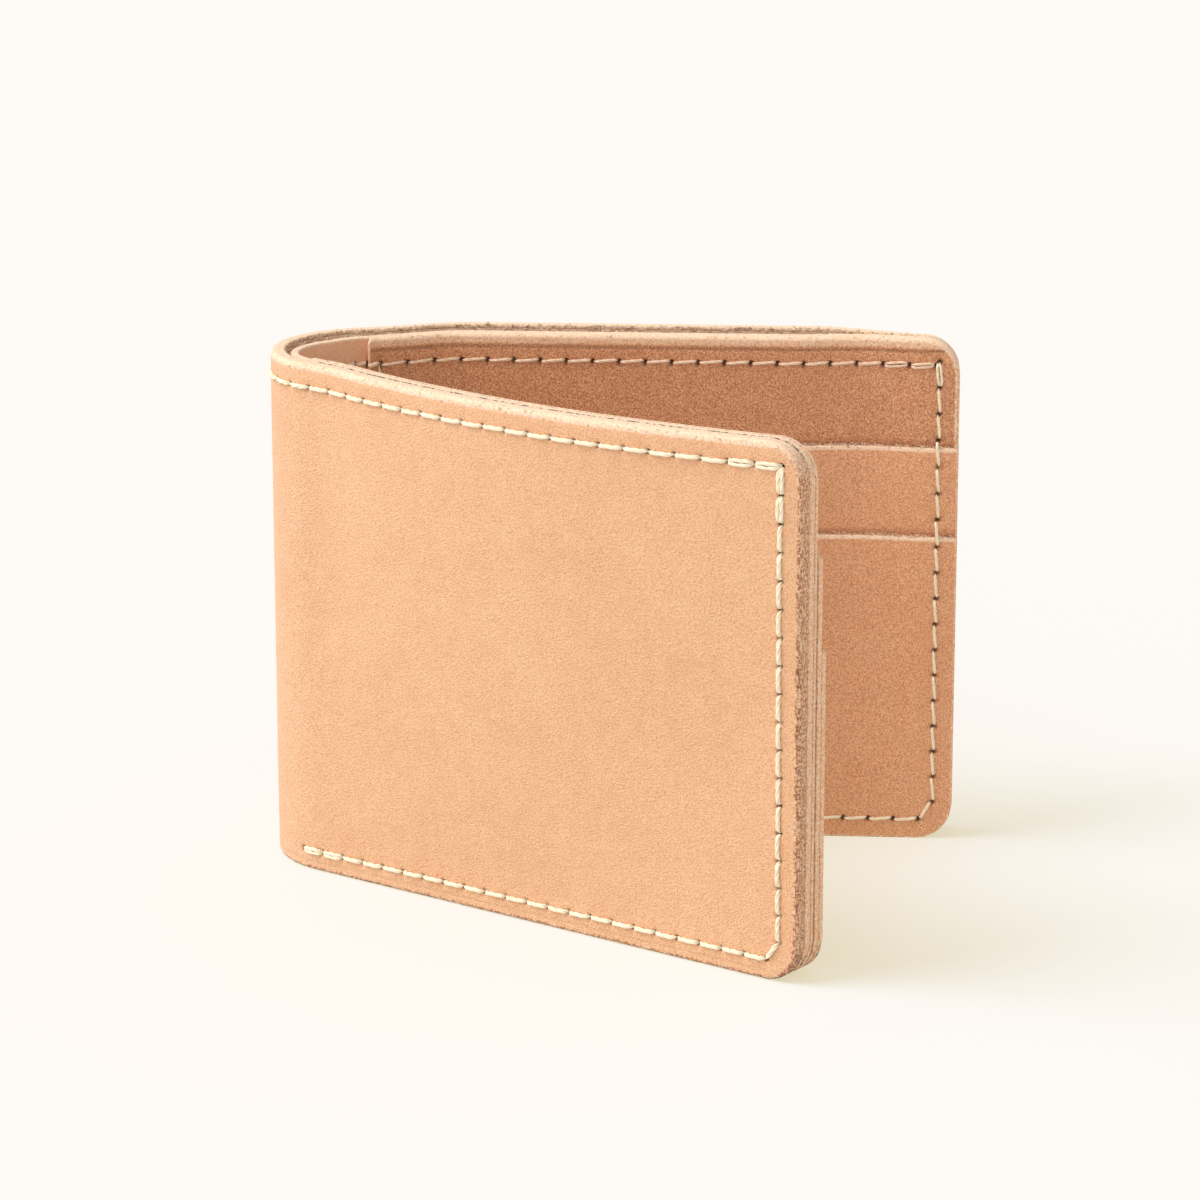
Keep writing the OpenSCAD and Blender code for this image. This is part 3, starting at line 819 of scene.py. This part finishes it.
def fold_threads(skin):
    for k in range(1, FOLDS + 1):
        shell_row, liner_row = Thread(), Thread()
        for i in range(2):
            b = -STRIP_S * (k - 1) - HINGE_S * i
            a = b - HINGE_S
            shell_row.stitch("back", (a, SHELL_ROW_Z), (b, SHELL_ROW_Z), 0.0, 1)
            shell_row.stitch("back", (a, SHELL_ROW_Z), (b, SHELL_ROW_Z), SHELL_T, -1, slant=0.3)
            on_panel = (k, i) in ((1, 0), (FOLDS, 1))
            depth = PANEL_DEPTH + POCKET_T if on_panel else LINER_DEPTH + LINER_T
            liner_row.stitch("back", (a, LINER_ROW_Z), (b, LINER_ROW_Z), depth, -1, slant=0.3)
            liner_row.stitch("back", (a, LINER_ROW_Z), (b, LINER_ROW_Z), LINER_DEPTH, 1)
        if k in (1, FOLDS):
            half = "back" if k == 1 else "front"
            a, b = (BOTTOM_HOLES_S[0], BOTTOM_ROW_Z), (BOTTOM_HOLES_S[1], BOTTOM_ROW_Z)
            shell_row.doubled(half, a, b, 0.0, 1)
            liner_row.stitch(half, a, b, inner_depth(0, 0), -1)
        strip = min(k, FOLDS - 1)
        piece = shell_row.build("fold_%d_shell_thread" % k, skin)
        fold_piece(piece, ["spine_stitching_%d" % strip])
        piece = liner_row.build("fold_%d_liner_thread" % k, skin, 1.0)
        fold_piece(piece, ["spine_stitching_%d" % strip])


# ---------------------------------------------------------------- materials


class Nodes:
    """A short way to write a material's nodes."""

    def __init__(self, name):
        self.material = bpy.data.materials.new(name)
        self.material.use_nodes = True
        self.tree = self.material.node_tree
        self.tree.nodes.clear()
        output = self.tree.nodes.new("ShaderNodeOutputMaterial")
        self.shader = self.tree.nodes.new("ShaderNodeBsdfPrincipled")
        self.link(self.shader.outputs[0], output.inputs[0])

    def link(self, a, b):
        self.tree.links.new(a, b)

    def put(self, socket, value):
        if isinstance(value, bpy.types.NodeSocket):
            self.link(value, socket)
        else:
            socket.default_value = value

    def attribute(self, name):
        node = self.tree.nodes.new("ShaderNodeAttribute")
        node.attribute_name = name
        return node.outputs["Vector"]

    def split(self, vector):
        node = self.tree.nodes.new("ShaderNodeSeparateXYZ")
        self.link(vector, node.inputs[0])
        return node.outputs

    def stretch(self, vector, scale):
        node = self.tree.nodes.new("ShaderNodeVectorMath")
        node.operation = "MULTIPLY"
        self.link(vector, node.inputs[0])
        node.inputs[1].default_value = scale
        return node.outputs[0]

    def noise(self, vector, scale, detail=2.0, rough=0.5, distort=0.0):
        node = self.tree.nodes.new("ShaderNodeTexNoise")
        self.link(vector, node.inputs["Vector"])
        node.inputs["Scale"].default_value = scale
        node.inputs["Detail"].default_value = detail
        node.inputs["Roughness"].default_value = rough
        node.inputs["Distortion"].default_value = distort
        return node.outputs["Fac"]

    def cells(self, vector, scale):
        node = self.tree.nodes.new("ShaderNodeTexVoronoi")
        self.link(vector, node.inputs["Vector"])
        node.inputs["Scale"].default_value = scale
        return node.outputs["Distance"]

    def spread(self, value, low, high, to_low, to_high):
        node = self.tree.nodes.new("ShaderNodeMapRange")
        self.put(node.inputs[0], value)
        for socket, number in zip(list(node.inputs)[1:5], (low, high, to_low, to_high)):
            socket.default_value = number
        return node.outputs[0]

    def calc(self, kind, a, b):
        node = self.tree.nodes.new("ShaderNodeMath")
        node.operation = kind
        self.put(node.inputs[0], a)
        self.put(node.inputs[1], b)
        return node.outputs[0]

    def mix(self, share, a, b):
        node = self.tree.nodes.new("ShaderNodeMix")
        node.data_type = "RGBA"
        self.put(node.inputs[0], share)
        self.put(node.inputs[6], a)
        self.put(node.inputs[7], b)
        return node.outputs[2]

    def bump(self, height, distance, strength):
        node = self.tree.nodes.new("ShaderNodeBump")
        node.inputs["Strength"].default_value = strength
        node.inputs["Distance"].default_value = distance
        self.link(height, node.inputs["Height"])
        return node.outputs[0]


def rgb(r, g, b):
    """A display colour, 0 to 255, as the linear colour that a socket takes."""
    def linear(v):
        v = v / 255
        return v / 12.92 if v <= 0.04045 else ((v + 0.055) / 1.055) ** 2.4
    return (linear(r), linear(g), linear(b), 1.0)


def leather_skin(name, grain, rim, speckle, seed, shade_and_grime_above=-1.0):
    """Undyed leather: grain on the faces, burnished or raw fibres on the edges, and a flesh side.
    grain is three tones and the specks' tone, rim the tones of the upright edges, and speckle the
    strength of the specks. The last argument is the height just above which the grain gets painted
    shade and some grime, where the next pocket's edge lies on it."""
    m = Nodes(name)
    lay = m.attribute("lay")
    edge, flesh, dark = m.split(m.attribute("mark"))
    cloud = m.noise(lay, 0.055 + seed * 0.003, 3.0, 0.55, 0.4)
    patch = m.noise(lay, 0.35, 2.0)
    speck = m.noise(lay, 3.6, 4.0, 0.75)
    pebble = m.cells(m.stretch(lay, (1.25, 1.0, 1.0)), 3.2)
    colour = m.mix(m.spread(cloud, 0.3, 0.7, 0.0, 1.0), grain[0], grain[1])
    colour = m.mix(m.spread(patch, 0.35, 0.65, 0.0, 0.4), colour, grain[2])
    colour = m.mix(m.spread(speck, 0.46, 0.62, 0.0, speckle), colour, grain[3])
    colour = m.mix(m.spread(pebble, 0.4, 0.7, 0.0, 0.6 * speckle), colour, grain[3])

    # Painted shade, with some grime, on the grain just above where the next pocket's edge lies on it.
    over = m.calc("SUBTRACT", m.split(lay)[1], shade_and_grime_above)
    shade_and_grime = m.calc("MULTIPLY", m.spread(over, 0.0, 1.4, 0.5, 0.0), m.spread(over, -0.4, 0.0, 0.0, 1.0))
    colour = m.mix(shade_and_grime, colour, SHADE_AND_GRIME_TONE)

    fibre = m.noise(m.stretch(lay, (0.7, 0.7, 4.5)), 1.3, 4.0, 0.7, 0.5)
    fuzz = m.noise(lay, 2.4, 5.0, 0.78)
    pit = m.noise(lay, 1.5, 4.0, 0.72)
    side = m.mix(m.spread(fuzz, 0.46, 0.55, 0.0, 1.0), rim[0], rim[1])
    side = m.mix(m.spread(fibre, 0.52, 0.58, 0.0, 0.7), side, rim[2])
    top = m.mix(m.spread(fuzz, 0.35, 0.62, 0.0, 1.0), RAW_TONES[0], RAW_TONES[1])
    top = m.mix(m.spread(pit, 0.56, 0.66, 0.0, 0.75), top, RAW_TONES[2])
    # Flesh side: pale fibres, lifted further as painted light in the shaded gap between shell and liner.
    lit_suede = m.mix(m.spread(fuzz, 0.36, 0.62, 0.0, 1.0), SUEDE_LIT_TONES[0], SUEDE_LIT_TONES[1])
    lit_suede = m.mix(m.spread(fibre, 0.55, 0.65, 0.0, 0.6), lit_suede, SUEDE_LIT_TONES[2])
    ragged = m.spread(m.calc("ADD", edge, m.calc("MULTIPLY", m.calc("SUBTRACT", pit, 0.5), 0.6)),
                      0.3, 0.5, 0.0, 1.0)
    raw = m.mix(flesh, side, top)
    # The flesh side has no edge share; an upright edge has no flesh share.
    face = m.mix(m.calc("MULTIPLY", flesh, m.spread(edge, 0.0, 0.01, 1.0, 0.0)), colour, lit_suede)
    colour = m.mix(ragged, face, raw)
    # Painted shade in holes, in the gaps between layers and under the bottom edge, together with the
    # crease lines; on raw edges it breaks into dashes.
    dots = m.spread(m.noise(lay, 1.7, 4.0, 0.65), 0.45, 0.57, 0.1, 1.0)
    shade = m.calc("MULTIPLY", dark, m.mix(ragged, (1, 1, 1, 1), dots))
    colour = m.mix(m.calc("MULTIPLY", shade, 0.86), colour, SHADE_AND_CREASE_TONE)
    m.put(m.shader.inputs["Base Color"], colour)

    grain_height = m.calc("ADD", m.calc("MULTIPLY", pebble, 1.1), m.calc("MULTIPLY", speck, 0.8))
    fuzzy = m.calc("ADD", m.calc("MULTIPLY", fuzz, 1.4), m.calc("MULTIPLY", pit, 1.2))
    rough_part = m.calc("MAXIMUM", ragged, flesh)
    blended = m.tree.nodes.new("ShaderNodeMix")
    m.put(blended.inputs[0], rough_part)
    m.put(blended.inputs[2], grain_height)
    m.put(blended.inputs[3], fuzzy)
    m.put(m.shader.inputs["Normal"], m.bump(blended.outputs[0], 0.0002, 0.75))
    m.put(m.shader.inputs["Roughness"], m.spread(speck, 0.3, 0.7, 0.5, 0.64))
    m.shader.inputs["Specular IOR Level"].default_value = 0.28
    m.shader.inputs["Sheen Weight"].default_value = 0.06
    m.shader.inputs["Sheen Roughness"].default_value = 0.5
    return m.material


def thread_skin():
    m = Nodes("waxed_linen")
    lay = m.attribute("lay")
    tone = m.noise(lay, 0.9, 3.0, 0.6)
    fibre = m.noise(m.stretch(lay, (0.8, 9.0, 9.0)), 2.0, 3.0, 0.7)
    colour = m.mix(m.spread(tone, 0.35, 0.65, 0.0, 1.0), THREAD_TONES[0], THREAD_TONES[1])
    colour = m.mix(m.spread(fibre, 0.5, 0.75, 0.0, 0.4), colour, THREAD_TONES[2])
    warm = m.tree.nodes.new("ShaderNodeAttribute")
    warm.attribute_name = "warm"
    colour = m.mix(m.calc("MULTIPLY", warm.outputs["Fac"], 0.6), colour, WARM_TONE)
    m.put(m.shader.inputs["Base Color"], colour)
    m.put(m.shader.inputs["Normal"], m.bump(fibre, 0.00003, 0.5))
    m.put(m.shader.inputs["Roughness"], m.spread(tone, 0.3, 0.7, 0.5, 0.62))
    m.shader.inputs["Specular IOR Level"].default_value = 0.3
    m.shader.inputs["Sheen Weight"].default_value = 0.1
    return m.material


# ---------------------------------------------------------------- the setting


def setting():
    scene = bpy.context.scene
    scene.view_settings.view_transform = "Standard"

    size = 9.0
    mesh = bpy.data.meshes.new("floor")
    corners = [(-size, -size, 0), (size, -size, 0), (size, size, 0), (-size, size, 0)]
    mesh.from_pydata(corners, [], [(0, 1, 2, 3)])
    floor = bpy.data.objects.new("floor", mesh)
    scene.collection.objects.link(floor)
    m = Nodes("floor_paper")
    place_node = m.tree.nodes.new("ShaderNodeTexCoord")
    cloud = m.noise(place_node.outputs["Object"], 3.0, 2.0)
    m.put(m.shader.inputs["Base Color"],
          m.mix(m.spread(cloud, 0.3, 0.7, 0.0, 1.0), *FLOOR_TONES))
    m.shader.inputs["Roughness"].default_value = 0.95
    m.shader.inputs["Specular IOR Level"].default_value = 0.0
    m.shader.inputs["Emission Color"].default_value = FLOOR_GLOW
    m.shader.inputs["Emission Strength"].default_value = 1.0
    mesh.materials.append(m.material)

    world = bpy.data.worlds.new("room")
    scene.world = world
    world.use_nodes = True
    tree = world.node_tree
    tree.nodes.clear()
    output = tree.nodes.new("ShaderNodeOutputWorld")
    seen, fill = tree.nodes.new("ShaderNodeBackground"), tree.nodes.new("ShaderNodeBackground")
    seen.inputs[0].default_value = rgb(252, 249, 243)
    fill.inputs[0].default_value = FILL_COLOUR
    fill.inputs[1].default_value = FILL
    mixer, path = tree.nodes.new("ShaderNodeMixShader"), tree.nodes.new("ShaderNodeLightPath")
    tree.links.new(path.outputs["Is Camera Ray"], mixer.inputs[0])
    tree.links.new(fill.outputs[0], mixer.inputs[1])
    tree.links.new(seen.outputs[0], mixer.inputs[2])
    tree.links.new(mixer.outputs[0], output.inputs[0])

    for name, azimuth, elevation, power, angle, colour in LIGHTS:
        lamp = bpy.data.lights.new(name, "SUN")
        lamp.energy, lamp.angle, lamp.color = power, math.radians(angle), colour
        a, e = math.radians(azimuth), math.radians(elevation)
        way = Vector((math.sin(a) * math.cos(e), -math.cos(a) * math.cos(e), math.sin(e)))
        holder = bpy.data.objects.new(name, lamp)
        holder.rotation_mode = "QUATERNION"
        holder.rotation_quaternion = way.to_track_quat("Z", "Y")
        scene.collection.objects.link(holder)

    lens = bpy.data.cameras.new("camera")
    lens.sensor_width, lens.lens = 36.0, CAMERA_LENS
    lens.clip_start, lens.clip_end = 0.01, 50.0
    camera = bpy.data.objects.new("camera", lens)
    camera.location = CAMERA_PLACE
    look = Vector((-math.sin(math.radians(CAMERA_TURN)), math.cos(math.radians(CAMERA_TURN)),
                   -math.tan(math.radians(CAMERA_PITCH))))
    camera.rotation_mode = "QUATERNION"
    camera.rotation_quaternion = look.to_track_quat("-Z", "Y")
    scene.collection.objects.link(camera)
    scene.camera = camera


CAMERA_LENS, CAMERA_PITCH, CAMERA_TURN = 139.4, 14.98, 3.49
CAMERA_PLACE = (0.0418, -0.7014, 0.2360)
FLOOR_TONES = ((0.272, 0.308, 0.462, 1.0), (0.268, 0.304, 0.457, 1.0))
FLOOR_GLOW = (0.64, 0.573, 0.366, 1.0)
FILL_COLOUR, FILL = (1.0, 0.95, 0.86, 1.0), 0.62
# name, azimuth (0 from the front, 90 from the right), elevation, strength, angle across, colour
LIGHTS = (
    ("key", -80, 52, 2.3, 34, (1.0, 0.985, 0.97)),
    ("front", -30, 18, 0.75, 70, (1.0, 0.98, 0.96)),
    ("rim", -114, 8, 0.55, 36, (0.85, 1.0, 1.04)),
)

RAW_TONES = (rgb(243, 199, 163), rgb(255, 232, 207), rgb(178, 126, 90))
# Tones of the flesh side: pale fibres, lifted further as painted light in the shaded gap between shell
# and liner.
SUEDE_LIT_TONES = (rgb(240, 196, 166), rgb(255, 232, 210), rgb(255, 246, 234))
# The colour of the painted shade in holes, gaps and under the bottom edge, and of the crease lines.
SHADE_AND_CREASE_TONE = rgb(50, 24, 14)
# The colour of the painted shade and grime above a pocket's edge.
SHADE_AND_GRIME_TONE = rgb(140, 78, 48)
THREAD_TONES = (rgb(250, 240, 217), rgb(240, 226, 196), rgb(222, 202, 166))
WARM_TONE = rgb(226, 186, 162)  # the light that leather throws on the liner's row of thread

INNER_RIM = (rgb(236, 168, 124), rgb(255, 218, 180), rgb(255, 238, 212))
SHELL_SKIN = leather_skin(
    "shell_leather", (rgb(242, 194, 152), rgb(236, 185, 143), rgb(248, 203, 162), rgb(194, 128, 92)),
    (rgb(160, 96, 64), rgb(244, 190, 148), rgb(255, 224, 190)), 0.5, 0)
# Pale liner leather, its tones lifted further as painted light where the liner lies in shade in the
# spine.
LINER_SKIN = leather_skin(
    "liner_leather", (rgb(255, 206, 168), rgb(250, 198, 158), rgb(255, 214, 180), rgb(222, 160, 122)),
    INNER_RIM, 0.5, 1)
# A darker copy of the inner leather: painted shade for the card panel, which lies recessed behind the
# pockets.
SHADED_PANEL_SKIN = leather_skin(
    "card_panel_leather", (rgb(241, 183, 139), rgb(235, 174, 130), rgb(247, 192, 148), rgb(160, 93, 60)),
    INNER_RIM, 0.8, 2, UPPER_TOP)
POCKET_SKIN = leather_skin(
    "pocket_leather", (rgb(252, 194, 150), rgb(246, 185, 141), rgb(255, 203, 160), rgb(186, 119, 80)),
    INNER_RIM, 0.7, 3, LOWER_TOP)
THREAD_SKIN = thread_skin()

for half_name in ("back", "front"):
    half_pieces(half_name, (SHELL_SKIN, LINER_SKIN, SHADED_PANEL_SKIN, POCKET_SKIN))
    half_threads(half_name, THREAD_SKIN)
fold_pieces(SHELL_SKIN, LINER_SKIN)
fold_threads(THREAD_SKIN)
setting()
